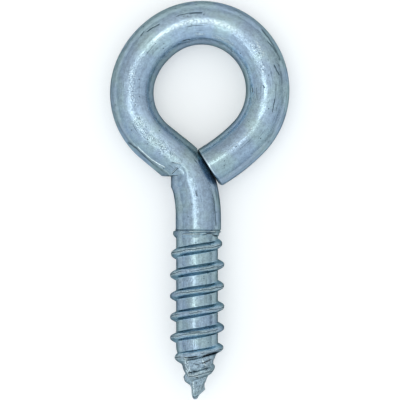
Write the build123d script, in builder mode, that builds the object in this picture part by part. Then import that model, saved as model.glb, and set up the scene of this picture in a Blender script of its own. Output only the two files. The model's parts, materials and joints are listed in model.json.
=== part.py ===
# Eye screw: one steel wire, bent into an open eye above a coarse wood thread.
#
# Sizes are in millimetres and degrees. The screw is drawn with its shank along
# Y, the eye towards +Y and the thread starting at y = 0. At the end it is laid
# down the way it rests on a table, on the far end of the eye and on one crest.

from build123d import *

import math
import os

# Wire
wire_diameter = 4.53
shank_diameter = 4.71
shank_length = 1.26

# Neck: a slack bend, a tight bend, then a straight limb up to the eye
lead_radius = 13.7
lead_turn = 11.5
neck_radius = 5.55
limb_lean = 50.8

# Eye: its mean centreline radius, each bend's radius over that one, and
# the direction (from +X) in which the wire leaves the bend
eye_radius = 7.03
limb_ratio = 0.42
left_ratio = 0.937
left_heading = 65.8
crown_ratio = 1.172
crown_heading = 33.2
top_ratio = 0.958
top_heading = -43.4
right_ratio = 1.011
right_heading = -134.5
leg_ratio = 2.63
leg_heading = -147.8

# Free end, cut square, standing just off a seat it has pressed into the neck
end_gap = 0.1
seat_depth = 0.22
end_bevel = 0.3

# Die marks: a ledge under the limb, a narrower column below it, and a flat
ledge_height = 5.52
column_left = 2.85
column_growth = 0.14
flat_depth = 0.13
flat_roll = 20.0

# Foot of the shank: a rolled line, a collar and a slope down to the core
line_depth = 0.09
line_width = 0.24
collar_depth = 0.03
collar_width = 0.35
collar_slope = 0.35

# Thread core, standing slightly off the axis of the shank
thread_length = 17.63
core_diameter = 4.34
core_shift = 0.14
point_angle = 42.0
point_round = 0.3
shoulder_bevel = 0.3

# Thread ridge, right-handed
thread_diameter = 5.62
pitch = 2.17
first_crest = 2.03
ridge_start = 0.28
ridge_end = 0.8
start_height = 0.32
start_turns = 1.5
run_out_turns = 0.12
crest_width = 0.27
flank_angle = 37.0
crest_lead = 0.31
crest_point_angle = 48.8

# Ridge construction: its pieces, and how deep they are rooted in the core
pieces_per_turn = 1
piece_points = 12
root_depth = 0.08

wire_radius = wire_diameter / 2
shank_radius = shank_diameter / 2
core_radius = core_diameter / 2
thread_radius = thread_diameter / 2


def slope(angle):
    return math.tan(math.radians(angle))


def bend(previous, radius, heading):
    """Arc that carries the wire on from another curve to a new heading."""
    tangent = previous % 1
    start_heading = math.degrees(math.atan2(tangent.Y, tangent.X))
    return JernArc(previous @ 1, tangent, radius, heading - start_heading)


# Centreline of the neck and the limb
with BuildLine():
    shank = Line((0, 0), (0, shank_length))
    lead = bend(shank, lead_radius, 90 + lead_turn)
    neck = bend(lead, neck_radius, 90 + limb_lean)
    limb = Line(neck @ 1, neck @ 1 + (neck % 1) * eye_radius * limb_ratio)

# Centreline of the eye
with BuildLine():
    left = bend(limb, eye_radius * left_ratio, left_heading)
    crown = bend(left, eye_radius * crown_ratio, crown_heading)
    top = bend(crown, eye_radius * top_ratio, top_heading)
    right = bend(top, eye_radius * right_ratio, right_heading)
    leg = bend(right, eye_radius * leg_ratio, leg_heading)

# The leg runs straight on until its end stands off the seat in the neck
inward = leg % 1
seat_distance = neck_radius + wire_radius - seat_depth
seat_reach = (neck.arc_center - leg @ 1).dot(inward) - seat_distance
seat_middle = leg @ 1 + inward * seat_reach
leg_reach = max(seat_reach - end_gap, end_bevel + end_gap)
with BuildLine():
    leg_end = Line(leg @ 1, leg @ 1 + inward * leg_reach)

# Shank, neck and limb, easing from the shank's diameter to the wire's
with BuildPart() as stem:
    with BuildSketch(Plane(origin=shank @ 0, z_dir=shank % 0)):
        Circle(shank_radius)
    extrude(amount=shank_length)
    with BuildSketch(Plane(origin=lead @ 0, z_dir=lead % 0)) as shank_section:
        Circle(shank_radius)
    with BuildSketch(Plane(origin=limb @ 1, z_dir=limb % 1)) as wire_section:
        Circle(wire_radius)
    sweep(
        sections=[shank_section.sketch, wire_section.sketch],
        path=Wire([lead, neck, limb]),
        multisection=True,
    )
    with Locations(Plane(origin=seat_middle, z_dir=-inward)):
        Box(
            wire_diameter,
            wire_diameter,
            wire_diameter,
            align=(Align.CENTER, Align.CENTER, Align.MIN),
            mode=Mode.SUBTRACT,
        )

# Eye and leg, with the rim of the free end bevelled
with BuildPart() as loop:
    with BuildSketch(Plane(origin=left @ 0, z_dir=left % 0)):
        Circle(wire_radius)
    sweep(path=Wire([left, crown, top, right, leg, leg_end]))
    chamfer(loop.faces().sort_by_distance(leg_end @ 1)[0].edges(), end_bevel)

# What the die takes away below the ledge, leaving a round column
column_radius = shank_radius + column_growth
with BuildPart() as notch:
    with Locations((column_radius - column_left, ledge_height, 0)):
        Box(
            shank_diameter,
            ledge_height - shank_length,
            shank_diameter * 2,
            align=(Align.MAX, Align.MAX, Align.CENTER),
        )
        Cylinder(
            column_radius,
            shank_diameter * 4,
            rotation=(90, 0, 0),
            mode=Mode.SUBTRACT,
        )

# What the die takes off the outer side of the limb, down to the ledge
outward = (limb % 1).rotate(Axis.Z, 90).rotate(Axis((0, 0, 0), limb % 1), flat_roll)
with BuildPart() as flat:
    with Locations(Plane(origin=limb @ 0 + outward * (wire_radius - flat_depth), z_dir=outward)):
        Box(
            eye_radius * 2,
            eye_radius * 2,
            wire_radius,
            align=(Align.CENTER, Align.CENTER, Align.MIN),
        )
    with Locations((0, ledge_height, 0)):
        Box(
            eye_radius * 4,
            eye_radius * 4,
            eye_radius * 4,
            align=(Align.CENTER, Align.MAX, Align.CENTER),
            mode=Mode.SUBTRACT,
        )

# Foot of the shank
line_end = -line_width
collar_end = line_end - collar_width
foot_end = collar_end - collar_slope
with BuildPart() as foot:
    with BuildSketch():
        with BuildLine():
            Polyline(
                (0, 0),
                (shank_radius - line_depth, 0),
                (shank_radius - collar_depth, line_end),
                (shank_radius - collar_depth, collar_end),
                (core_radius - core_shift * 2, foot_end),
                (0, foot_end),
                close=True,
            )
        make_face()
    revolve(axis=Axis.Y)

# Core, running down to a cone with a rounded point
taper = slope(point_angle / 2)
apex = point_round / math.sin(math.radians(point_angle / 2)) - point_round + thread_length
taper_start = apex - core_radius / taper
with BuildPart() as core:
    with BuildSketch() as profile:
        with BuildLine():
            point = CenterArc(
                (0, point_round - thread_length), point_round, -90, 90 - point_angle / 2
            )
            Polyline(point @ 1, (core_radius, -taper_start), (core_radius, 0), (0, 0), point @ 0)
        make_face()
        chamfer(profile.vertices().sort_by_distance((core_radius, -taper_start))[0], shoulder_bevel)
    revolve(axis=Axis.Y)


# Ridge of the thread, by formula; turns are counted down from its start
total_turns = (thread_length - ridge_end - ridge_start) / pitch
piece_count = math.ceil(total_turns * pieces_per_turn)
piece_turns = total_turns / piece_count


def core_at(y):
    return min(core_radius, (y + apex) * taper)


def crest_height(turn):
    """Height of the crest above the core, sinking into it at both ends."""
    y = -ridge_start - pitch * turn
    crest = thread_radius - max(0, crest_lead - taper_start - y) * slope(crest_point_angle / 2)
    full = crest - core_at(y)
    grown = start_height + (full - start_height) * turn / start_turns
    run_out = min(turn, total_turns - turn, run_out_turns) / run_out_turns
    return min(grown, full) * run_out - root_depth / 2 * (1 - run_out)


def ridge_edge(first_turn, side, level):
    """Edge of one piece of ridge, along its crest or, a level down, along its root."""
    points = []
    for step in range(piece_points + 1):
        turn = min(first_turn + piece_turns * step / piece_points, total_turns)
        y = -ridge_start - pitch * turn
        azimuth = 2 * math.pi * (y + first_crest) / pitch
        depth = crest_height(turn) + root_depth
        drop = depth * level
        half_width = crest_width / 2 + drop * slope(flank_angle)
        radius = core_at(y) - root_depth + depth - drop
        points.append((radius * math.sin(azimuth), y + side * half_width, radius * math.cos(azimuth)))
    return Edge.make_spline([Vector(*point) for point in points])


def ridge_piece(index):
    """One piece of ridge: a closed skin of ruled faces with flat ends."""
    corners = ((1, 1), (1, 0), (-1, 0), (-1, 1))
    edges = [ridge_edge(index * piece_turns, *corner) for corner in corners]
    faces = [Face.make_surface_from_curves(edges[at - 1], edges[at]) for at in range(len(edges))]
    ends = [Face(Wire.make_polygon([edge @ end for edge in edges])) for end in (0, 1)]
    return Solid(Shell(faces + ends))


with BuildPart() as thread:
    add(core.part)
    add([ridge_piece(index) for index in range(piece_count)])

# The whole screw
with BuildPart() as screw:
    add(stem.part)
    add(loop.part)
    add(notch.part, mode=Mode.SUBTRACT)
    add(flat.part, mode=Mode.SUBTRACT)
    add(foot.part)
    with Locations((-core_shift, 0, 0)):
        add(thread.part)

# Tilt at rest, about X: the lowest crest and the far end of the eye touch the table
bottom_turn = (first_crest / pitch - 0.5 - ridge_start / pitch) % 1
eye_far = top.arc_center.Y + top.radius


def rest_slope(turn):
    y = -ridge_start - pitch * turn
    return (core_at(y) + crest_height(turn) - wire_radius) / (eye_far - y)


rest_angle = math.degrees(
    math.atan(max(rest_slope(bottom_turn + turn) for turn in range(int(total_turns))))
)
with BuildPart() as resting:
    add(screw.part, rotation=(-rest_angle, 0, 0))

# Set over the origin, on the table
box = resting.part.bounding_box()
with BuildPart() as eye_screw:
    with Locations((-box.center().X, -box.center().Y, -box.min.Z)):
        add(resting.part)

eye_screw.part.label = "eye_screw"
os.makedirs("parts", exist_ok=True)
export_step(eye_screw.part, "parts/eye_screw.step")
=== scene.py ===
# Looks of the eye screw: one bent, zinc-plated steel wire with a rolled wood thread.
# Its surface is one mesh, worked out along the wire from the same sizes as the solid.
# Sizes are in millimetres and degrees until MM turns them into metres.
import json
import math

import bpy
import numpy as np
from mathutils import Matrix, Vector


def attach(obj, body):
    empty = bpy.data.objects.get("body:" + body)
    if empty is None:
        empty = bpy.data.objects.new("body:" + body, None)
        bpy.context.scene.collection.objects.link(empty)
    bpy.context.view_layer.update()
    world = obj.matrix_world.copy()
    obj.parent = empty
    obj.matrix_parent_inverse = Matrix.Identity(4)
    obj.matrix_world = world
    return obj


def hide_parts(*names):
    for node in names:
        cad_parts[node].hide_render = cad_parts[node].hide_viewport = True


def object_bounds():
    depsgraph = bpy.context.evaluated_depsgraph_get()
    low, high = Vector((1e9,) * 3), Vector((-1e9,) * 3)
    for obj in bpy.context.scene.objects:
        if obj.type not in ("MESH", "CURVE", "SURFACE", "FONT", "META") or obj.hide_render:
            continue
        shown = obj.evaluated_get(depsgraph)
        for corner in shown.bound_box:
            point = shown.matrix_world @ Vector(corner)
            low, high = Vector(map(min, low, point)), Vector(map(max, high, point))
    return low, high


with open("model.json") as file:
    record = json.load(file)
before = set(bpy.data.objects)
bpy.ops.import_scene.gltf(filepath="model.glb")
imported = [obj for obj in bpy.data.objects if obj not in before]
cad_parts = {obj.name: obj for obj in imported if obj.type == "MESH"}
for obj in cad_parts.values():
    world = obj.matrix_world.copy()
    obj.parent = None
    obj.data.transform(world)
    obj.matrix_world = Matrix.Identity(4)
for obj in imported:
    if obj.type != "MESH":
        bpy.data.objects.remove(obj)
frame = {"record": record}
cad_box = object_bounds()

MM = 0.001
FULL_CIRCLE = 2 * math.pi
TINY = 1e-6

# Wire: shank, neck, limb, then the bends of the eye and the leg (radius, turn)
WIRE_RADIUS = 2.265
SHANK_RADIUS = 2.355
SHANK_LENGTH = 1.26
LEAD = (13.7, 11.5)
NECK = (5.55, 39.3)
LIMB_LENGTH = 2.953
LEFT = (6.587, -75.0)
CROWN = (8.239, -32.6)
TOP = (6.735, -76.6)
RIGHT = (7.107, -91.1)
LEG = (18.489, -13.3)

# Free end, bevelled on its outer side, and the seat that it has pressed into the neck
END_GAP = 0.03
SEAT_DEPTH = 0.22
SEAT_LEAST_FACING = 0.001
RIM_LENGTH = 0.1
RIM_DEPTH = 0.08
BEVEL_LENGTH = 0.34
BEVEL_DEPTH = 0.5

# Die marks on the neck: the ledge, the column below it, the flat and a thumb-shaped print
LEDGE_HEIGHT = 5.52
COLUMN_LEFT = 2.85
COLUMN_RADIUS = 2.495
FLAT_DEPTH = 0.13
FLAT_ROLL = 20.0
FLAT_FADE = 5.0
FLAT_LEAST_FACING = 0.2
PRINT_MIDDLE = (-2.45, 5.45)
PRINT_SIZE = (1.25, 1.42)
PRINT_DEPTH = 0.07
PRINT_EDGE = 0.16

# Foot of the shank: two rolled lines with a bead between them, neither quite level, the second
# one broken, then an uneven slope down to the core, ragged on its right
LINE_AT = 0.12
LINE_DEPTH = 0.12
LINE_WIDTH = 0.062
LINE_SWAY = 0.02
LINE_SWAY_TURN = 0.6
BEAD_AT = 0.26
BEAD_HEIGHT = 0.05
SECOND_LINE_AT = 0.41
SECOND_LINE_DEPTH = 0.09
SECOND_LINE_WIDTH = 0.055
SECOND_LINE_BREAKS = 1.5
FOOT_START = 0.34
FOOT_END = 0.94
SLOPE_ROUGH_FROM = 0.25
SLOPE_ROUGH_LENGTH = 0.22
SLOPE_ROUGH_SIZE = 0.3
SLOPE_ROUGH_HEIGHT = 0.085

# Thread
THREAD_LENGTH = 17.63
CORE_RADIUS = 2.17
CORE_SHIFT = 0.14
POINT_HALF_ANGLE = 21.0
POINT_ROUND = 0.3
SHOULDER_SOFT = 0.16
THREAD_RADIUS = 2.81
PITCH = 2.17
FIRST_CREST = 2.03
RIDGE_START = 0.28
RIDGE_END = 0.8
START_HEIGHT = 0.32
START_TURNS = 1.5
RUN_OUT_TURNS = 0.12
CREST_LEAD = 0.31
CREST_POINT_HALF_ANGLE = 23.4
ROOT_HALF_WIDTH = 0.55
CREST_BLUNTNESS = 1.5
RIDGE_FULLNESS = 0.8

# Unevenness of the thread, its height and the size of its features: the crest wanders, the
# ridge is worn, and the taper has a coarse and a fine rough skin
CREST_WAVE = 0.02
CREST_WAVE_SIZE = 1.2
RIDGE_WEAR = 0.05
RIDGE_WEAR_SIZE = 0.8
ROUGH_START = 12.3
ROUGH_FADE_IN = 1.0
ROUGH_FADE_OUT = 0.6
ROUGH_HEIGHT = 0.045
ROUGH_SIZE = 0.33
FINE_HEIGHT = 0.026
FINE_SIZE = 0.14
FINE_WAVES = 30

# Folds in the steel by the first and last turns: start and end (distance down the screw, angle
# round it from the front), depth and half width
FOLDS = (
    ((13.05, 12), (12.72, 72), 0.19, 0.14),
    ((13.90, 12), (13.35, 62), 0.09, 0.055),
    ((13.72, 30), (13.45, 56), 0.07, 0.05),
    ((13.28, -40), (13.10, 6), 0.12, 0.07),
    ((14.83, -52), (14.70, 8), 0.11, 0.055),
    ((10.68, -46), (10.50, 14), 0.07, 0.05),
    ((0.66, 12), (0.52, 30), 0.07, 0.05),
    ((0.45, 20), (0.50, 50), 0.09, 0.05),
    ((0.62, 42), (0.76, 72), 0.09, 0.06),
)
FOLD_END_SHARE = 0.2
FOLD_WAVER = 0.05
FOLD_WAVER_SIZE = 0.3
FOLD_WHOLE = 0.95
FOLD_BREAKS = 0.45
# How dark the painted shade in the folds gets for their depth
FOLD_DARKNESS = 12.0

# Point, thinned and bent a little to one side, with a burr
POINT_WAIST_AT = 16.45
POINT_WAIST_DEPTH = 0.13
POINT_WAIST_LENGTH = 0.5
POINT_BEND = 0.19
POINT_BEND_START = 16.1
POINT_BEND_LENGTH = 1.5
BURR_AT = 16.62
BURR_HEIGHT = 0.15
BURR_LENGTH = 0.2
BURR_ANGLE = 95.0
BURR_WIDTH = 26.0

# Mesh
COLUMNS = 128
THREAD_STEP = 0.038
NECK_STEP = 0.08
EYE_STEP = 0.32
BALL_ROWS = 7
BALL_FIRST_ANGLE = 12.0
RIM_ROWS = 9
CAP_RINGS = 6

rng = np.random.default_rng(11)


# ---------------------------------------------------------------- centreline
def travel(point, heading, curvature, length):
    """Where the wire is, and its heading, after a length of one piece."""
    if curvature == 0:
        return point + length * np.array([math.cos(heading), math.sin(heading)]), heading
    turned = heading + curvature * length
    return point + (left_of(heading) - left_of(turned)) / curvature, turned


def left_of(heading):
    """Direction to the left of a heading."""
    return np.array([-math.sin(heading), math.cos(heading)])


pieces = [(np.zeros(2), math.pi / 2, 0.0, SHANK_LENGTH)]
# None stands for the straight limb
for bend in (LEAD, NECK, None, LEFT, CROWN, TOP, RIGHT, LEG):
    end_point, end_heading = travel(*pieces[-1])
    if bend is None:
        pieces.append((end_point, end_heading, 0.0, LIMB_LENGTH))
    else:
        arc_length = bend[0] * math.radians(abs(bend[1]))
        pieces.append((end_point, end_heading, math.copysign(1 / bend[0], bend[1]), arc_length))

# The leg runs on, straight, up to the seat
neck_piece = pieces[2]
neck_centre = neck_piece[0] + left_of(neck_piece[1]) / neck_piece[2]
leg_point, leg_heading = travel(*pieces[-1])
inward = np.array([math.cos(leg_heading), math.sin(leg_heading)])
seat_reach = (neck_centre - leg_point) @ inward - (NECK[0] + WIRE_RADIUS - SEAT_DEPTH)
seat_middle = leg_point + inward * seat_reach
pieces.append((leg_point, leg_heading, 0.0, seat_reach - END_GAP))
starts = np.concatenate([[0.0], np.cumsum([piece[3] for piece in pieces])])
neck_start, limb_end, wire_end = starts[1], starts[4], starts[-1]


def ease(value):
    """Soft step from 0 to 1, level at both ends."""
    value = np.clip(value, 0, 1)
    return value * value * (3 - 2 * value)


def hump(offset, width):
    """Bell of height 1 round an offset of nought."""
    return np.exp(-((offset / width) ** 2))


def soft_min(a, b, soft):
    """Smaller of two values, rounded over where they meet."""
    mix = np.clip(0.5 + 0.5 * (b - a) / soft, 0, 1)
    return b + (a - b) * mix - soft * mix * (1 - mix)


def centreline(distances):
    """Middles and headings of the wire at distances from the thread start."""
    middles = np.stack([np.zeros_like(distances), distances], 1)
    headings = np.full(len(distances), math.pi / 2)
    for index, at in enumerate(distances):
        if at > 0:
            piece = min(np.searchsorted(starts, at) - 1, len(pieces) - 1)
            point, heading, curvature, _ = pieces[piece]
            middles[index], headings[index] = travel(point, heading, curvature, at - starts[piece])
    middles[:, 0] -= CORE_SHIFT * ease(-distances / FOOT_END)
    middles[:, 0] -= POINT_BEND * ease((-distances - POINT_BEND_START) / POINT_BEND_LENGTH)
    return middles, headings


def ripples(y, azimuth, size, waves=14):
    """Seeded unevenness, from about -1 to 1, with features of a given size."""
    total = 0
    for _ in range(waves):
        along, phase = rng.normal() / size, rng.uniform(0, FULL_CIRCLE)
        around = round(rng.normal() * SHANK_RADIUS / size)
        total = total + np.sin(along * y + around * azimuth + phase)
    return total / math.sqrt(waves)


# ---------------------------------------------------- core, point and thread
point_tan = math.tan(math.radians(POINT_HALF_ANGLE))
point_sin = math.sin(math.radians(POINT_HALF_ANGLE))
crest_tan = math.tan(math.radians(CREST_POINT_HALF_ANGLE))
apex = POINT_ROUND / point_sin - POINT_ROUND + THREAD_LENGTH
taper_start = apex - CORE_RADIUS / point_tan
ball_top = POINT_ROUND - THREAD_LENGTH - POINT_ROUND * point_sin


def core_at(y):
    """Radius of the core, the taper and the rounded point."""
    ball = np.sqrt(np.clip(POINT_ROUND**2 - (y + THREAD_LENGTH - POINT_ROUND) ** 2, 0, None))
    core = soft_min(np.full_like(y, CORE_RADIUS), (y + apex) * point_tan, SHOULDER_SOFT)
    return np.where(y < ball_top, ball, core)


def foot_at(y):
    """Radius from the shank down to the core."""
    down = ease((-y - FOOT_START) / (FOOT_END - FOOT_START))
    return SHANK_RADIUS + (CORE_RADIUS - SHANK_RADIUS) * down


def crest_height(turn):
    """Full height of the ridge over the core, after some turns of the thread."""
    y = -RIDGE_START - PITCH * turn
    fall = np.clip(CREST_LEAD - taper_start - y, 0, None) * crest_tan
    full = THREAD_RADIUS - fall - np.minimum(CORE_RADIUS, (y + apex) * point_tan)
    grown = START_HEIGHT + (full - START_HEIGHT) * turn / START_TURNS
    total = (THREAD_LENGTH - RIDGE_END - RIDGE_START) / PITCH
    run_out = np.clip(np.minimum(turn, total - turn) / RUN_OUT_TURNS, 0, 1)
    return np.clip(np.minimum(grown, full), 0, None) * ease(run_out)


def thread_height(y, azimuth):
    """Height of the ridge over the core, distance from its crest, and its full height there."""
    axial = (y + FIRST_CREST - PITCH * azimuth / FULL_CIRCLE) / PITCH
    axial = (axial - np.round(axial)) * PITCH
    full = crest_height((-RIDGE_START - (y - axial)) / PITCH)
    section = ease(1 - (np.abs(axial) / ROOT_HALF_WIDTH) ** CREST_BLUNTNESS) ** RIDGE_FULLNESS
    return full * section, axial, full


def fold_in(radius, along, azimuth, fine):
    """Presses the folds into the surface and says how dark each place of it is as painted shade, from 0
    to 1.
    """
    degrees = np.degrees(azimuth)
    shade = np.zeros_like(radius)
    for (start_y, start_angle), (end_y, end_angle), depth, width in FOLDS:
        share = (degrees - start_angle) / (end_angle - start_angle)
        off = -along - (start_y + (end_y - start_y) * share)
        off = off - FOLD_WAVER * ripples(0 * along, azimuth, FOLD_WAVER_SIZE)
        folded = ease(share / FOLD_END_SHARE) * ease((1 - share) / FOLD_END_SHARE) * hump(off, width)
        folded = folded * (along < 0) * ease(FOLD_WHOLE + FOLD_BREAKS * fine)
        shade = np.maximum(shade, np.minimum(FOLD_DARKNESS * depth * folded, 1))
        radius = radius - depth * folded
    return radius, shade


# --------------------------------------------------------- marks of the die
def seat_distance(s, x, y, ray_x, ray_y):
    """Distance along each ray to the seat of the free end."""
    toward = -(ray_x * inward[0] + ray_y * inward[1])
    away = (x - seat_middle[0]) * inward[0] + (y - seat_middle[1]) * inward[1]
    seat = away / np.maximum(toward, SEAT_LEAST_FACING)
    side = left_of(leg_heading)
    slide = (x + seat * ray_x - seat_middle[0]) * side[0] + (y + seat * ray_y - seat_middle[1]) * side[1]
    facing = toward > SEAT_LEAST_FACING
    on_seat = facing & (np.abs(slide) < WIRE_RADIUS) & ((s > 0) & (s < limb_end))
    return np.where(on_seat, seat, np.inf)


def column_distance(s, x, y, ray_x, ray_y, ray_z):
    """Distance along each ray to what the die has cut away below the ledge."""
    middle = COLUMN_RADIUS - COLUMN_LEFT
    a = ray_x**2 + ray_z**2
    b = (x - middle) * ray_x
    c = (x - middle) ** 2 - COLUMN_RADIUS**2
    wall = (-b + np.sqrt(np.maximum(b * b - a * c, 0))) / np.maximum(a, TINY)
    above = y > LEDGE_HEIGHT
    climbs = ray_y > -TINY
    ledge = (LEDGE_HEIGHT - y) / np.where(np.abs(ray_y) < TINY, TINY, ray_y)
    meets = np.where(above & ~climbs, np.maximum(wall, ledge), wall)
    missed = (climbs & above) | ((ray_y > TINY) & (wall > ledge))
    missed = missed | (x + meets * ray_x > middle) | (s < SHANK_LENGTH) | (s > limb_end)
    return np.where(missed, np.inf, meets)


def flat_distance(s, theta, y, ray_y):
    """Distance along each ray to the flat on the outside of the limb, which runs out up the eye."""
    depth = FLAT_DEPTH * ease((limb_end + FLAT_FADE - s) / FLAT_FADE)
    facing = np.maximum(np.cos(theta - math.radians(FLAT_ROLL)), FLAT_LEAST_FACING)
    flat = (WIRE_RADIUS - depth) / facing
    pressed = (y + flat * ray_y > LEDGE_HEIGHT) & (s > neck_start) & (depth > 0)
    return np.where(pressed, flat, np.inf)


def print_depth(s, x, y, ray_z):
    """Depth of the print above the ledge."""
    reach = np.hypot((x - PRINT_MIDDLE[0]) / PRINT_SIZE[0], (y - PRINT_MIDDLE[1]) / PRINT_SIZE[1])
    pressed = ease((1 - reach) / PRINT_EDGE) * (ray_z > 0) * (s > neck_start) * (s < limb_end)
    return PRINT_DEPTH * pressed * ray_z


def rolled_foot(radius, s, azimuth):
    """Adds the rolled lines, the bead and the ragged slope at the foot of the shank."""
    sway = LINE_SWAY * np.sin(azimuth + LINE_SWAY_TURN)
    radius = radius - LINE_DEPTH * hump(s + LINE_AT + sway, LINE_WIDTH)
    radius = radius + BEAD_HEIGHT * hump(s + BEAD_AT + sway, LINE_WIDTH)
    broken = ease(0.5 + ripples(0 * s, azimuth, SECOND_LINE_BREAKS))
    radius = radius - SECOND_LINE_DEPTH * broken * hump(s + SECOND_LINE_AT - sway, SECOND_LINE_WIDTH)
    on_slope = hump(s + FOOT_START + SLOPE_ROUGH_FROM, SLOPE_ROUGH_LENGTH)
    right_side = ease(0.5 + np.sin(azimuth))
    ragged = ripples(s, azimuth, SLOPE_ROUGH_SIZE) * on_slope * right_side
    return radius + SLOPE_ROUGH_HEIGHT * ragged


# ------------------------------------------------------------------- surface
def wire_surface(s, theta, middles, headings):
    """Distance from the middle of the wire to its surface, rows along it and columns round it."""
    s = s[:, None]
    easing = np.clip((s - neck_start) / (limb_end - neck_start), 0, 1)
    wire = SHANK_RADIUS + (WIRE_RADIUS - SHANK_RADIUS) * easing
    radius = np.where(s > 0, wire, np.where(s > -FOOT_END, foot_at(s), core_at(s)))
    radius = np.repeat(radius, len(theta), 1)

    x, y = middles[:, :1], middles[:, 1:]
    ray_x = -np.sin(headings)[:, None] * np.cos(theta)
    ray_y = np.cos(headings)[:, None] * np.cos(theta)
    ray_z = np.repeat(np.sin(theta)[None], len(s), 0)
    radius = np.minimum(radius, seat_distance(s, x, y, ray_x, ray_y))
    radius = np.minimum(radius, column_distance(s, x, y, ray_x, ray_y, ray_z))
    radius = np.minimum(radius, flat_distance(s, theta, y, ray_y))
    radius = radius - print_depth(s, x + radius * ray_x, y + radius * ray_y, ray_z)
    return rolled_foot(radius, s, theta[None] - math.pi / 2 + 0 * s)


def rows():
    """Distances of the rows of the mesh along the wire, from the point to the free end."""
    ball_angles = np.radians(np.linspace(BALL_FIRST_ANGLE, 90 - POINT_HALF_ANGLE, BALL_ROWS))
    ball = POINT_ROUND * (1 - np.cos(ball_angles)) - THREAD_LENGTH
    thread = np.arange(ball[-1] + THREAD_STEP / 2, 0, THREAD_STEP)
    neck = np.arange(0, limb_end, NECK_STEP)
    eye = np.arange(limb_end, wire_end - BEVEL_LENGTH - EYE_STEP / 2, EYE_STEP)
    rim = wire_end - BEVEL_LENGTH * (1 - np.sin(np.radians(np.linspace(0, 90, RIM_ROWS))))
    return np.concatenate([ball, thread, neck, eye, rim])


distances = rows()
theta = np.arange(COLUMNS) / COLUMNS * FULL_CIRCLE
middles, headings = centreline(distances)
radius = wire_surface(distances, theta, middles, headings)

# Thread
along = np.minimum(distances, 0)[:, None] + 0 * theta[None]
azimuth = theta[None] - math.pi / 2 + 0 * along
threaded = (distances < 0)[:, None]
wandered = along + CREST_WAVE * ripples(along, azimuth, CREST_WAVE_SIZE)
ridge, axial, full_height = thread_height(wandered, azimuth)
wear = 1 + RIDGE_WEAR * ripples(along, azimuth, RIDGE_WEAR_SIZE)
radius = radius + ridge * wear * threaded

# Rough skin of the taper, folds, and the point with its burr
rough = ease((-along - ROUGH_START) / ROUGH_FADE_IN) * ease((along + THREAD_LENGTH) / ROUGH_FADE_OUT)
radius = radius + ROUGH_HEIGHT * rough * ripples(along, azimuth, ROUGH_SIZE) * threaded
fine = ripples(along, azimuth, FINE_SIZE, FINE_WAVES)
radius = radius + FINE_HEIGHT * rough * fine * threaded
radius, fold_shade = fold_in(radius, along, azimuth, fine)
radius = radius - POINT_WAIST_DEPTH * hump(along + POINT_WAIST_AT, POINT_WAIST_LENGTH)
burr_turn = (np.degrees(azimuth) - BURR_ANGLE + 180) % 360 - 180
radius = radius + BURR_HEIGHT * hump(along + BURR_AT, BURR_LENGTH) * hump(burr_turn, BURR_WIDTH)

# Rim of the free end, rounded, and bevelled on the outer side of the leg
outer = ease(np.cos(theta))[None]
rim_length = RIM_LENGTH + (BEVEL_LENGTH - RIM_LENGTH) * outer
rim_depth = RIM_DEPTH + (BEVEL_DEPTH - RIM_DEPTH) * outer
over = np.clip((distances[:, None] - wire_end) / rim_length + 1, 0, 1)
radius = radius - rim_depth * (1 - np.sqrt(1 - over**2))

# ---------------------------------------------------------------------- mesh
# Rows of points up to the free end, then rings that close it
sideways_of, forward_of = -np.sin(headings)[:, None], np.cos(headings)[:, None]
grid = np.stack(
    [
        middles[:, :1] + radius * sideways_of * np.cos(theta),
        middles[:, 1:] + radius * forward_of * np.cos(theta),
        radius * np.sin(theta),
    ],
    2,
)
tip = np.array([middles[0][0], -THREAD_LENGTH, 0.0])
end_middle = np.array([*middles[-1], 0.0])
cap = [end_middle + (grid[-1] - end_middle) * (1 - ring / CAP_RINGS) for ring in range(1, CAP_RINGS)]
grid = np.concatenate([grid, np.array(cap)])

# From the wire's own place to the frame, by the mount on the thread
mounts = {mount["name"]: mount for mount in frame["record"]["mounts"]}
origin = np.array(mounts["thread"]["pos_m"])
forward = -np.array(mounts["thread"]["axis"])
sideways = np.array([1.0, 0.0, 0.0])
upward = np.cross(sideways, forward)
vertices = np.concatenate([tip[None], grid.reshape(-1, 3), end_middle[None]])
vertices = origin + MM * (
    (vertices[:, :1] + CORE_SHIFT) * sideways + vertices[:, 1:2] * forward + vertices[:, 2:] * upward
)


def grid_faces(row_count):
    """Quads between the rows, and fans from the tip and to the middle of the free end."""
    faces = []
    for row in range(row_count - 1):
        first = 1 + row * COLUMNS
        above = first + COLUMNS
        for column in range(COLUMNS):
            beside = (column + 1) % COLUMNS
            faces.append((first + column, first + beside, above + beside, above + column))
    last = 1 + (row_count - 1) * COLUMNS
    for column in range(COLUMNS):
        beside = (column + 1) % COLUMNS
        faces.append((0, 1 + beside, 1 + column))
        faces.append((last + column, last + beside, last + COLUMNS))
    return faces


mesh = bpy.data.meshes.new("eye_screw_finish")
mesh.from_pydata([tuple(vertex) for vertex in vertices], [], grid_faces(len(grid)))
mesh.polygons.foreach_set("use_smooth", [True] * len(mesh.polygons))
mesh.update()


def keep(name, kind, field, values, at_tip, at_end):
    """Stores values of the rows and columns on all vertices, for the material to read."""
    cap_values = np.repeat(values[-1:], CAP_RINGS - 1, 0)
    flat = np.concatenate([values, cap_values]).reshape(-1, values.shape[-1])
    flat = np.concatenate([[at_tip], flat, [at_end]])
    mesh.attributes.new(name, kind, "POINT").data.foreach_set(field, np.asarray(flat, np.float32).ravel())


# The wire as if straightened, in millimetres, for marks that run along it
straight = [distances[:, None] + 0 * radius, radius * np.cos(theta), radius * np.sin(theta)]
keep("lay", "FLOAT_VECTOR", "vector", np.stack(straight, 2), (-THREAD_LENGTH, 0, 0), (wire_end, 0, 0))
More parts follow.
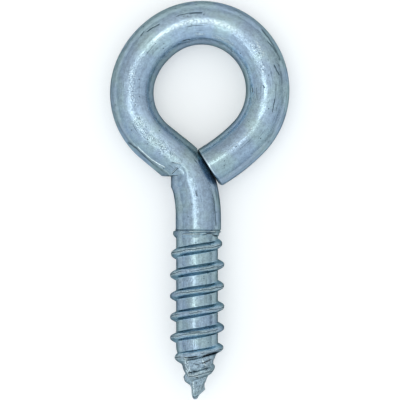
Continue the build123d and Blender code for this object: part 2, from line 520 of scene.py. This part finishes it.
# Where a point is between two crests, as a cosine and a sine, and how high the ridge is
turned = axial / PITCH * FULL_CIRCLE
helix = [np.cos(turned), np.sin(turned), np.where(threaded, full_height, 0)]
keep("helix", "FLOAT_VECTOR", "vector", np.stack(helix, 2), (-1, 0, 0), (-1, 0, 0))
keep("fold", "FLOAT", "value", fold_shade[:, :, None], (0,), (0,))

screw = bpy.data.objects.new("eye_screw_finish", mesh)
bpy.context.scene.collection.objects.link(screw)
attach(screw, "root")
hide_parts("eye_screw")


# ------------------------------------------------------------ node shorthand
class Tree:
    """Short way to add nodes: each method returns the new node's output socket."""

    def __init__(self, tree):
        self.tree = tree

    def fill(self, socket, value):
        """Links another socket into an input, or sets the input to a plain value."""
        if isinstance(value, bpy.types.NodeSocket):
            self.tree.links.new(value, socket)
        else:
            socket.default_value = value

    def add(self, kind, *values, output=0, **settings):
        """Adds a node, whose inputs take the values in order."""
        made = self.tree.nodes.new("ShaderNode" + kind)
        for name, value in settings.items():
            setattr(made, name, value)
        for socket, value in zip([socket for socket in made.inputs if socket.enabled], values):
            self.fill(socket, value)
        return made.outputs[output]

    def math(self, operation, *values):
        """Runs a sum over two or more values, or over one where the operation takes one."""
        if len(values) == 1:
            return self.add("Math", values[0], operation=operation)
        total = values[0]
        for value in values[1:]:
            total = self.add("Math", total, value, operation=operation)
        return total

    def times(self, *values):
        return self.math("MULTIPLY", *values)

    def plus(self, *values):
        return self.math("ADD", *values)

    def most(self, *values):
        return self.math("MAXIMUM", *values)

    def size(self, value):
        return self.math("ABSOLUTE", value)

    def shares(self, *pairs):
        """Each mask of some pairs of mask and share, scaled by its share."""
        return [self.times(mask, share) for mask, share in pairs]

    def ramp(self, value, low, high, out_low=0.0, out_high=1.0, smooth=True):
        """Maps a value from one range to another, without leaving it."""
        kind = "SMOOTHSTEP" if smooth else "LINEAR"
        made = self.add("MapRange", interpolation_type=kind).node
        limits = {"From Min": low, "From Max": high, "To Min": out_low, "To Max": out_high}
        for name, number in limits.items():
            made.inputs[name].default_value = number
        self.tree.links.new(value, made.inputs["Value"])
        return made.outputs["Result"]

    def between(self, value, start, full, fading, end):
        """Rises from 0 to 1 between the first two values, and falls back between the last two."""
        return self.times(self.ramp(value, start, full), self.ramp(value, end, fading))

    def noise(self, vector, scale, detail, rough=0.5):
        made = self.add("TexNoise").node
        self.tree.links.new(vector, made.inputs["Vector"])
        made.inputs["Scale"].default_value = scale
        made.inputs["Detail"].default_value = detail
        made.inputs["Roughness"].default_value = rough
        return made.outputs[0]

    def uneven(self, value, low, high):
        """Turns a noise into an unevenness that reaches from one value to another."""
        return self.ramp(value, 0.3, 0.7, low, high)

    def wave(self, value, reach):
        """Turns a noise into a straight measure of how far a line wanders to either side."""
        return self.ramp(value, 0.3, 0.7, -reach, reach, smooth=False)

    def stretch(self, vector, scale):
        return self.add("VectorMath", vector, scale, operation="MULTIPLY")

    def dot(self, a, b):
        return self.add("VectorMath", a, b, operation="DOT_PRODUCT", output=1)

    def scale(self, vector, factor):
        return self.add("VectorMath", vector, factor, operation="SCALE")

    def mix(self, factor, a, b, blend="MIX"):
        made = self.add("Mix", data_type="RGBA", blend_type=blend).node
        sockets = {socket.name: socket for socket in made.inputs if socket.enabled}
        for name, value in {"Factor": factor, "A": a, "B": b}.items():
            self.fill(sockets[name], value)
        return next(socket for socket in made.outputs if socket.enabled)


# ------------------------------------------------------- zinc plate: settings
PER_MM = 1 / MM

# Colours of the metal: two tints of plating, the flanks of the thread painted paler as painted light, the
# pale skin of the taper, stains in the marks and painted shade in the thread roots, scuffs and painted
# highlights, places rubbed bare and painted highlights, and painted shade inside the folds
LAVENDER = (0.305, 0.400, 0.505, 1)
SEA_GREY = (0.325, 0.435, 0.475, 1)
FLANK_PAINTED_LIGHT = (0.42, 0.63, 0.77, 1)
PALE = (0.38, 0.47, 0.51, 1)
STAIN_AND_SHADE = (0.06, 0.10, 0.13, 1)
BRIGHT = (0.60, 0.70, 0.73, 1)
BARE_AND_HIGHLIGHT = (0.80, 0.94, 0.98, 1)
PAINTED_FOLD_SHADE = (0.015, 0.022, 0.03, 1)
EDGE_TINT = (0.12, 0.13, 0.12, 1)

# Marks on the front of the wire: start, end (along and across the wire) and half width
NICKS = (
    ((22.70, 1.25), (23.90, 1.04), 0.13),
    ((22.00, 1.42), (22.45, 1.48), 0.09),
    ((25.65, 0.98), (28.00, 0.92), 0.07),
    ((26.90, 0.86), (27.95, 0.86), 0.12),
    ((25.20, -1.62), (26.30, -1.69), 0.08),
    ((33.45, 1.83), (36.40, 1.78), 0.08),
    ((34.55, 1.53), (35.65, 1.72), 0.08),
    ((36.70, 1.00), (37.60, 1.27), 0.12),
    ((39.85, 0.74), (41.00, 0.82), 0.08),
    ((38.50, -0.51), (38.75, -0.41), 0.07),
    ((38.70, -1.66), (39.20, -1.65), 0.08),
    ((3.95, -0.01), (3.40, -0.02), 0.055),
    ((3.30, -1.67), (0.40, -1.82), 0.06),
    ((6.40, -1.33), (6.60, -1.30), 0.06),
    ((12.40, 2.06), (11.60, 1.80), 0.07),
    ((11.60, 1.80), (9.40, 1.93), 0.06),
    ((8.05, 0.55), (7.80, 0.42), 0.05),
    ((7.07, 0.60), (7.08, 1.40), 0.045),
    ((-15.80, 0.10), (-16.00, 0.09), 0.06),
    ((-13.90, 0.35), (-14.00, -0.20), 0.05),
    ((-16.35, -0.60), (-16.75, -0.64), 0.08),
    ((-17.32, 0.27), (-17.46, 0.05), 0.09),
    ((-17.46, 0.00), (-17.22, -0.24), 0.07),
)
# Scuffs; the last one, along the leg, is a painted highlight
SCUFFS_AND_HIGHLIGHT = (
    ((29.45, -1.45), (32.20, -1.40), 0.28),
    ((27.20, -1.30), (28.30, -1.35), 0.16),
    ((34.00, 0.55), (35.40, 0.35), 0.22),
    ((43.40, -0.36), (47.60, -0.42), 0.13),
)
# Worn bare, in specks, on the taper and the point, and painted brighter there as a highlight
RUBS_AND_HIGHLIGHT = (
    ((-13.35, 1.15), (-15.00, 0.85), 0.34),
    ((-15.05, 0.75), (-15.25, -0.10), 0.13),
    ((-15.60, 0.45), (-16.90, 0.30), 0.12),
    ((-13.55, -0.60), (-14.20, -0.90), 0.16),
)
# Where the plating is peppered with fine dark specks, among bright specks that are painted glints
PEPPER = (
    ((18.90, 0.28), (15.30, -0.20), 0.62),
    ((13.60, 0.00), (8.90, -0.15), 0.95),
    ((33.90, 0.10), (37.00, -0.28), 0.50),
    ((24.50, -0.20), (27.00, 0.10), 0.30),
)
# Raised edges beside the marks of the die, the rolled lines and the last turn, painted bright as
# highlights
LIPS_AND_HIGHLIGHT = (
    ((7.75, 0.40), (7.25, 0.06), 0.06),
    ((11.60, 1.62), (9.80, 1.70), 0.06),
    ((9.80, 1.70), (8.30, 1.42), 0.06),
    ((7.20, 0.66), (7.20, 1.42), 0.05),
    ((-0.24, 0.95), (-0.24, -1.75), 0.06),
    ((-0.52, 1.50), (-0.52, -0.20), 0.07),
    ((-15.06, 0.85), (-15.22, -0.10), 0.07),
)

# How far the marks waver, and the share of their half width over which they are at their fullest
MARK_WAVER = 0.035
MARK_SHARP_SHARE = 0.2

# Thread: heights between which the ridge starts to count, bands beside its crest (start, full,
# fading and end), and lines beside it (half width outside and inside)
RIDGE_COUNTS = (0.05, 0.3)
FLANK_BAND = (0.12, 0.30, 0.50, 0.62)
UPPER_FLANK_SHADE_BAND = (0.13, 0.22, 0.32, 0.42)
ROOT_AT = 0.5
ROOT_LINE = (0.08, 0.02)
SEAM_WANDER = 0.07
SEAM_LINE = (0.05, 0.015)
SEAM_LIP_AT = 0.11
SEAM_LIP_LINE = (0.05, 0.015)
CREST_LINE = (0.42, 0.08)

# Sides of the wire, by how far they face up or down (1) or sideways (0): start and full, and
# fading and end where they have them
# Painted shade on the sides and the outer side, painted light on the outer rim and the inner side
ROUGH_SIDE_SHADE = (0.77, 0.40)
OUTER_SIDE_SHADE = (0.74, 0.55)
OUTER_RIM_LIGHT = (0.50, 0.38)
INNER_SIDE_LIGHT = (0.42, 0.55, 0.68, 0.80)

# The same for the height over the middle of the wire, and for places across it, in millimetres
FRONT_HALF = (0.0, 0.3)
OUTER_HALF = (0.4, 1.2)
INNER_HALF = (-0.4, -1.2)
PALE_LIMB_LIGHT_BAND = (-1.6, -1.0, -0.5, -0.1)
SCRATCHED_HALF = (-0.2, 0.8)

# The same for places along the wire, in millimetres from the start of the thread
WORN_FADE = 1.2
WORN_STRETCH = (-ROUGH_START, -ROUGH_START - WORN_FADE)
PALE_LIMB_LIGHT_STRETCH = (7.5, 9.5, 13.0, 16.0)
OUTER_SIDE_SHADE_STRETCH = (10.0, 16.0, 31.0, 36.0)
OUTER_RIM_LIGHT_STRETCH = (7.0, 10.0)
INNER_SIDE_LIGHT_STRETCH = (27.0, 33.0)
CROWN_HIGHLIGHT_STRETCH = (21.0, 25.0, 29.5, 33.5)
NECK_DULL_STRETCH = (13.0, 9.0)
LEG_DULL_STRETCH = (42.0, 46.0)
SCRATCHED_STRETCH = (31.0, 35.0, 42.0, 45.0)
CUT_EDGE_HIGHLIGHT_STRETCH = (wire_end - 0.20, wire_end - 0.14, wire_end - 0.08, wire_end - 0.02)

# Where a noise breaks up a region or a mark, start and full, and the strengths there if not 0 to 1
TINT_SPLIT = (0.38, 0.62)
ROUGH_PATCHES = (0.42, 0.60)
SEAM_PATCHES = (0.40, 0.49)
SEAM_LIP_PATCHES = (0.40, 0.54)
NICK_BREAKS = (0.25, 0.45, 0.5, 1.0)
SCUFF_AND_HIGHLIGHT_BREAKS = (0.45, 0.60)
RUB_AND_HIGHLIGHT_BREAKS = (0.42, 0.51)
CREST_HIGHLIGHT_BREAKS = (0.25, 0.65)
DARK_SPECKS = (0.45, 0.36)
GLINT_SPECKS = (0.55, 0.65)
WORN_SPECKS = (0.35, 0.65, -0.22, 0.16)

# Pits in some of the cells that they are strewn over, and fine scratches in patches
PIT_CELLS = 2.4
PIT_CHOICE = (0.14, 0.10)
PIT_EDGE = (0.24, 0.10)
SCRATCH_LINES = (0.61, 0.68)
SCRATCH_PATCHES = (0.54, 0.66)

# ---------------------------------------------- zinc plate: where a point is
metal = bpy.data.materials.new("zinc_plate")
metal.use_nodes = True
zinc = Tree(metal.node_tree)

place = zinc.add("TexCoord", output=3)
lay = zinc.add("Attribute", output=1, attribute_name="lay")
along_wire, across_wire, height_on_wire = zinc.add("SeparateXYZ", lay).node.outputs
helix = zinc.add("Attribute", output=1, attribute_name="helix")
cosine, sine, ridge_height = zinc.add("SeparateXYZ", helix).node.outputs
from_crest = zinc.times(zinc.math("ARCTAN2", sine, cosine), PITCH / FULL_CIRCLE)
crest_distance = zinc.size(from_crest)
on_thread = zinc.ramp(ridge_height, *RIDGE_COUNTS)
on_front = zinc.ramp(height_on_wire, *FRONT_HALF)

# How far a point faces up or down: 1 on the front and the back, 0 at the outline of the wire
section = zinc.add("CombineXYZ", 0.0, across_wire, height_on_wire)
section_radius = zinc.add("VectorMath", section, operation="LENGTH", output=1)
upright = zinc.math("DIVIDE", zinc.size(height_on_wire), section_radius)

# ------------------------------------------------------ zinc plate: textures
# Noises: features to a millimetre, detail, roughness. Stretched ones are longer along the wire.
patches = zinc.noise(place, 0.33 * PER_MM, 3.0)
mottle = zinc.noise(place, 2.2 * PER_MM, 4.0, 0.62)
grain = zinc.noise(place, 6.5 * PER_MM, 2.0, 0.6)
fine_grain = zinc.noise(place, 9.0 * PER_MM, 1.0)
streaks = zinc.noise(zinc.stretch(lay, (0.22, 3.4, 3.4)), 1.0, 4.0, 0.6)
rough_noise = zinc.noise(zinc.stretch(lay, (0.45, 0.8, 0.8)), 1.0, 2.0)
waver = zinc.wave(zinc.noise(place, 1.6 * PER_MM, 2.0), MARK_WAVER)
wander = zinc.wave(zinc.noise(place, 0.9 * PER_MM, 2.0), SEAM_WANDER)
front_place = zinc.add("CombineXYZ", along_wire, zinc.plus(across_wire, waver))

# ------------------------------------------------------- zinc plate: regions
worn = zinc.ramp(along_wire, *WORN_STRETCH)
rough_spots = zinc.most(zinc.ramp(rough_noise, *ROUGH_PATCHES), worn)
flank_painted_light = zinc.times(zinc.between(crest_distance, *FLANK_BAND), on_thread)
# Band on the flanks beside the crest, darkened as painted shade
upper_flank_painted_shade = zinc.times(zinc.between(crest_distance, *UPPER_FLANK_SHADE_BAND), on_thread)
# Crown of the eye: lightened as a painted highlight
crown_painted_highlight = zinc.between(along_wire, *CROWN_HIGHLIGHT_STRETCH)
ends = zinc.most(zinc.ramp(along_wire, *NECK_DULL_STRETCH), zinc.ramp(along_wire, *LEG_DULL_STRETCH))
# Sides of the wire: rougher, and a little darker as painted shade
rough_side_painted_shade = zinc.ramp(upright, *ROUGH_SIDE_SHADE)
outer_half = zinc.ramp(across_wire, *OUTER_HALF)
# Outer side of the eye, low down: darkened as painted shade
outer_side_painted_shade = zinc.times(zinc.ramp(upright, *OUTER_SIDE_SHADE), outer_half)
outer_side_painted_shade = zinc.times(outer_side_painted_shade, zinc.between(along_wire, *OUTER_SIDE_SHADE_STRETCH))
# Outer rim of the wire: lightened as painted light
outer_rim_painted_light = zinc.times(zinc.ramp(upright, *OUTER_RIM_LIGHT), outer_half)
outer_rim_painted_light = zinc.times(outer_rim_painted_light, zinc.ramp(along_wire, *OUTER_RIM_LIGHT_STRETCH))
# Inner side of the right half of the eye and the leg: lightened as painted light
inner_side_painted_light = zinc.times(zinc.between(upright, *INNER_SIDE_LIGHT), zinc.ramp(across_wire, *INNER_HALF))
inner_side_painted_light = zinc.times(inner_side_painted_light, zinc.ramp(along_wire, *INNER_SIDE_LIGHT_STRETCH))
# Inner half of the left limb: lightened as painted light
pale_limb_painted_light = zinc.times(zinc.between(along_wire, *PALE_LIMB_LIGHT_STRETCH), zinc.between(across_wire, *PALE_LIMB_LIGHT_BAND))


# --------------------------------------------------------- zinc plate: marks
def stroke(start, finish, half_width):
    """Mask of one mark on the front, between two places given along and across the wire."""
    reach = Vector(finish) - Vector(start)
    offset = zinc.add("VectorMath", front_place, (*start, 0), operation="SUBTRACT")
    share = zinc.add("Clamp", zinc.dot(offset, (*(reach / reach.length_squared), 0)))
    on_line = zinc.scale((*reach, 0), share)
    distance = zinc.add("VectorMath", offset, on_line, operation="DISTANCE", output=1)
    return zinc.ramp(distance, half_width, half_width * MARK_SHARP_SHARE)


def strokes(marks):
    """Mask of all marks of a table, on the front alone."""
    return zinc.times(zinc.most(*(stroke(*mark) for mark in marks)), on_front)


def small_pits():
    """Round pits, in some of the cells that they are strewn over."""
    cells = zinc.add("TexVoronoi").node
    metal.node_tree.links.new(place, cells.inputs["Vector"])
    cells.inputs["Scale"].default_value = PIT_CELLS * PER_MM
    chosen = zinc.ramp(zinc.add("SeparateXYZ", cells.outputs["Color"]), *PIT_CHOICE)
    return zinc.times(zinc.ramp(cells.outputs["Distance"], *PIT_EDGE), chosen)


def fine_scratches():
    """Lines along the wire, in patches, most of them on the outer right of the eye."""
    lines = zinc.noise(zinc.stretch(lay, (0.5, 11.0, 11.0)), 1.0, 1.0)
    patchy = zinc.noise(zinc.stretch(lay, (0.3, 0.5, 0.5)), 1.0, 1.0)
    on_right = zinc.between(along_wire, *SCRATCHED_STRETCH)
    outer_right = zinc.times(on_right, zinc.ramp(across_wire, *SCRATCHED_HALF))
    scratched = zinc.most(zinc.ramp(patchy, *SCRATCH_PATCHES), outer_right)
    return zinc.times(zinc.ramp(lines, *SCRATCH_LINES), scratched)


pits = small_pits()
scratches = fine_scratches()
# Raised edges beside the die marks and rolled lines, painted bright as highlights
lips_and_highlight = strokes(LIPS_AND_HIGHLIGHT)
nicks = zinc.times(strokes(NICKS), zinc.ramp(grain, *NICK_BREAKS))
scuffs_and_highlight = zinc.times(strokes(SCUFFS_AND_HIGHLIGHT), zinc.ramp(grain, *SCUFF_AND_HIGHLIGHT_BREAKS))
rubs_and_highlight = zinc.times(strokes(RUBS_AND_HIGHLIGHT), zinc.ramp(fine_grain, *RUB_AND_HIGHLIGHT_BREAKS))
peppered = strokes(PEPPER)
dark_specks = zinc.times(peppered, zinc.ramp(fine_grain, *DARK_SPECKS))
# Bright specks in the highlights: painted glints
glint_specks_painted = zinc.times(peppered, zinc.ramp(fine_grain, *GLINT_SPECKS))
crest_line = zinc.ramp(zinc.size(zinc.plus(across_wire, waver)), *CREST_LINE)
# Painted highlight along the crest of the crown, broken up by grain
crest_painted_highlight = zinc.times(crown_painted_highlight, crest_line, on_front, zinc.ramp(grain, *CREST_HIGHLIGHT_BREAKS))
# Thin bright line at the rim of the free end: painted highlight
cut_edge_painted_highlight = zinc.between(along_wire, *CUT_EDGE_HIGHLIGHT_STRETCH)
folds = zinc.add("Attribute", output=2, attribute_name="fold")

# Seam along the crest of the thread, with its lips painted bright as highlights, and lines where the
# flanks meet the core, darkened as painted shade
seam_distance = zinc.size(zinc.plus(from_crest, wander))
seamed = zinc.times(on_thread, zinc.ramp(patches, *SEAM_PATCHES))
seam = zinc.times(zinc.ramp(seam_distance, *SEAM_LINE), seamed)
lip_distance = zinc.size(zinc.math("SUBTRACT", seam_distance, SEAM_LIP_AT))
seam_lips_and_highlight = zinc.times(zinc.ramp(lip_distance, *SEAM_LIP_LINE), seamed)
seam_lips_and_highlight = zinc.times(seam_lips_and_highlight, zinc.ramp(grain, *SEAM_LIP_PATCHES))
# Line where the flanks meet the core: painted shade in the thread root
root_distance = zinc.size(zinc.math("SUBTRACT", seam_distance, ROOT_AT))
root = zinc.times(zinc.ramp(root_distance, *ROOT_LINE), on_thread)

# ------------------------------------------- zinc plate: tint, gloss, relief
tint = zinc.mix(zinc.ramp(patches, *TINT_SPLIT), LAVENDER, SEA_GREY)
# Flanks mixed towards a paler blue: painted light, lifting the shade that falls on them
tint = zinc.mix(zinc.times(flank_painted_light, 0.8), tint, FLANK_PAINTED_LIGHT)
tint = zinc.mix(zinc.times(worn, 0.6), tint, PALE)

# How much lighter or darker the tint is, as a share, by its unevenness and in each region
unevenness = (
    zinc.uneven(mottle, -0.11, 0.11),
    zinc.uneven(streaks, -0.07, 0.09),
    zinc.uneven(grain, -0.08, 0.08),
    zinc.times(worn, zinc.ramp(fine_grain, *WORN_SPECKS)),
)
# Painted shade on sides, outer side and upper flanks; painted light on rim, inner sides and crown
by_region = zinc.shares(
    (rough_side_painted_shade, -0.05),
    (outer_side_painted_shade, -0.22),
    (outer_rim_painted_light, 0.35),
    (inner_side_painted_light, 0.50),
    (pale_limb_painted_light, 0.32),
    (ends, -0.08),
    (upper_flank_painted_shade, -0.10),
    (crown_painted_highlight, 0.10),
)
tint = zinc.scale(tint, zinc.plus(*unevenness, *by_region, 1.0))

# How strongly each mark shows where it is stained or darkened as painted shade, scuffed or rubbed bare,
# or painted bright as a highlight
stains_and_shade = zinc.shares(
    (pits, 0.8),
    (scratches, 0.6),
    (nicks, 0.9),
    (dark_specks, 0.6),
    (seam, 0.85),
    # Painted shade in the thread roots
    (root, 0.15),
)
# Places rubbed bare and painted highlights, mixed towards one light colour
bare_and_highlit_places = zinc.shares(
    (rubs_and_highlight, 0.9),
    (cut_edge_painted_highlight, 0.35),
    (lips_and_highlight, 0.75),
    (seam_lips_and_highlight, 0.5),
    (glint_specks_painted, 0.4),
    (crest_painted_highlight, 0.55),
)
stained_and_shaded = zinc.most(*stains_and_shade)
# Scuffs, and painted highlights on the raised edges and along the leg
scuffed_and_highlit = zinc.most(*zinc.shares((scuffs_and_highlight, 0.7), (lips_and_highlight, 0.9)))
colour = zinc.mix(scuffed_and_highlit, tint, BRIGHT)
colour = zinc.mix(zinc.most(*bare_and_highlit_places), colour, BARE_AND_HIGHLIGHT)
colour = zinc.mix(stained_and_shaded, colour, STAIN_AND_SHADE)
# Painted shade inside the folds
colour = zinc.mix(folds, colour, PAINTED_FOLD_SHADE)
roughness = zinc.plus(
    zinc.uneven(mottle, 0.13, 0.22),
    zinc.uneven(streaks, -0.03, 0.04),
    zinc.times(zinc.most(stained_and_shaded, folds), 0.2),
    zinc.times(rough_side_painted_shade, 0.17),
)

# Relief in millimetres: orange peel and grain, then what is cut in or stands out
grain_height = zinc.ramp(rough_spots, 0.0, 1.0, 0.004, 0.024)
heights = zinc.shares(
    (mottle, 0.018),
    (grain, grain_height),
    (pits, -0.012),
    (scratches, -0.008),
    (nicks, -0.045),
    (scuffs_and_highlight, 0.02),
    (seam, -0.06),
    (seam_lips_and_highlight, 0.03),
    (lips_and_highlight, 0.05),
    (zinc.times(fine_grain, worn), 0.03),
    (rubs_and_highlight, 0.05),
    (zinc.times(fine_grain, peppered), 0.02),
)
bump = zinc.add("Bump").node
bump.inputs["Strength"].default_value = 1.0
bump.inputs["Distance"].default_value = MM
metal.node_tree.links.new(zinc.plus(*heights), bump.inputs["Height"])

shader = metal.node_tree.nodes["Principled BSDF"]
shader.inputs["Metallic"].default_value = 1.0
shader.inputs["Specular Tint"].default_value = EDGE_TINT
metal.node_tree.links.new(colour, shader.inputs["Base Color"])
metal.node_tree.links.new(roughness, shader.inputs["Roughness"])
metal.node_tree.links.new(bump.outputs["Normal"], shader.inputs["Normal"])
mesh.materials.append(metal)

# --------------------------------------------------------------------- floor
# Sizes of the stage are in metres
FLOOR_SIZE = 1.2
FLOOR_COLOUR = (0.80, 0.80, 0.80, 1)
FLOOR_GLOW = 0.27
WHITE = (1, 1, 1, 1)
corners = [(x * FLOOR_SIZE / 2, y * FLOOR_SIZE / 2, 0) for x, y in ((-1, -1), (1, -1), (1, 1), (-1, 1))]
floor_mesh = bpy.data.meshes.new("floor")
floor_mesh.from_pydata(corners, [], [(0, 1, 2, 3)])
floor = bpy.data.objects.new("floor", floor_mesh)
bpy.context.scene.collection.objects.link(floor)

# White paper, which glows a little where the camera or a reflection sees it
paper = bpy.data.materials.new("white_paper")
paper.use_nodes = True
paper.node_tree.nodes.clear()
sheet = Tree(paper.node_tree)
rays = sheet.add("LightPath").node.outputs
seen = sheet.most(rays["Is Camera Ray"], rays["Is Glossy Ray"], rays["Is Transmission Ray"])
glow = sheet.add("Emission", WHITE, sheet.times(seen, FLOOR_GLOW))
matte = sheet.add("BsdfDiffuse", FLOOR_COLOUR)
paper_output = paper.node_tree.nodes.new("ShaderNodeOutputMaterial")
paper.node_tree.links.new(sheet.add("AddShader", matte, glow), paper_output.inputs["Surface"])
floor_mesh.materials.append(paper)

# -------------------------------------------------------------------- studio
# A pale room, bluer low down and in front, dimmer low on the right, with a wide glow to the
# upper right
ZENITH = (0.96, 0.98, 0.98, 1)
HORIZON = (0.62, 0.68, 0.74, 1)
ZENITH_FROM = 0.7
FRONT = (1.05, 1.12, 1.18, 1)
BACK = (0.92, 0.92, 0.92, 1)
TOWARDS_FRONT = (0.0, -1.0, 0.0)
FRONT_RANGE = (-0.6, 0.6)
TOWARDS_GLOW = (0.26, 0.31, 0.914)
GLOW_RANGE = (0.91, 0.99)
GLOW = 0.30
TOWARDS_RIGHT = (0.99, -0.14, 0.0)
RIGHT_RANGE = (0.5, 0.92)
LOW_RANGE = (0.30, 0.05)
SIDE_DIMMING = 0.4

world = bpy.data.worlds.new("studio")
bpy.context.scene.world = world
world.use_nodes = True
sky = Tree(world.node_tree)
direction = sky.add("TexCoord", output=0)
rise = sky.add("SeparateXYZ", direction, output=2)
air = sky.mix(sky.ramp(rise, 0.0, ZENITH_FROM, smooth=False), HORIZON, ZENITH)
gain = sky.mix(sky.ramp(sky.dot(direction, TOWARDS_FRONT), *FRONT_RANGE), BACK, FRONT)
gain = sky.add("VectorMath", gain, sky.ramp(sky.dot(direction, TOWARDS_GLOW), *GLOW_RANGE, 0.0, GLOW))
on_right = sky.ramp(sky.dot(direction, TOWARDS_RIGHT), *RIGHT_RANGE)
dimming = sky.times(sky.ramp(rise, *LOW_RANGE), on_right, SIDE_DIMMING)
gain = sky.scale(gain, sky.math("SUBTRACT", 1.0, dimming))
background = world.node_tree.nodes["Background"]
background.inputs["Strength"].default_value = 1.0
world.node_tree.links.new(sky.mix(1.0, air, gain, "MULTIPLY"), background.inputs["Color"])

LAMP_COLOUR = (1.0, 1.0, 0.93)


def softbox(name, lean, size, roll, radiance, distance):
    """Plain rectangular lamp, a distance off: its lean from straight above, size and roll are angles."""
    width, height = (2 * distance * math.tan(math.radians(angle / 2)) for angle in size)
    lamp = bpy.data.lights.new(name, "AREA")
    lamp.shape = "RECTANGLE"
    lamp.size = width
    lamp.size_y = height
    lamp.energy = radiance * math.pi * width * height
    lamp.color = LAMP_COLOUR
    box = bpy.data.objects.new(name, lamp)
    away = Vector((*(math.tan(math.radians(angle)) for angle in lean), 1)).normalized()
    across = Vector((1, 0, -away.x / away.z)).normalized()
    facing = Matrix((across, away.cross(across), away)).transposed()
    box.location = away * distance
    box.rotation_mode = "QUATERNION"
    box.rotation_quaternion = (facing @ Matrix.Rotation(math.radians(roll), 3, "Z")).to_quaternion()
    bpy.context.scene.collection.objects.link(box)


# A large softbox to the upper left, and two brighter strips before it
softbox("softbox", lean=(-16, 10), size=(28, 42), roll=0, radiance=0.36, distance=0.5)
softbox("strip", lean=(-12, 6.5), size=(24, 6.5), roll=36, radiance=2.1, distance=0.46)
softbox("low_strip", lean=(-14, -11), size=(24, 4), roll=-12, radiance=1.9, distance=0.46)

# -------------------------------------------------------------------- camera
# Straight above, its up along the screw
LENS = 250.0
SENSOR = 36.0
VIEW_HEIGHT = 41.51 * MM
OFFSET = (0.026 * MM, -0.014 * MM)
view = bpy.data.cameras.new("camera")
view.lens = LENS
view.sensor_width = SENSOR
camera = bpy.data.objects.new("camera", view)
camera.location = (cad_box[0] + cad_box[1]) / 2 + Vector((*OFFSET, VIEW_HEIGHT * LENS / SENSOR))
bpy.context.scene.collection.objects.link(camera)
bpy.context.scene.camera = camera
bpy.context.scene.view_settings.view_transform = "Standard"
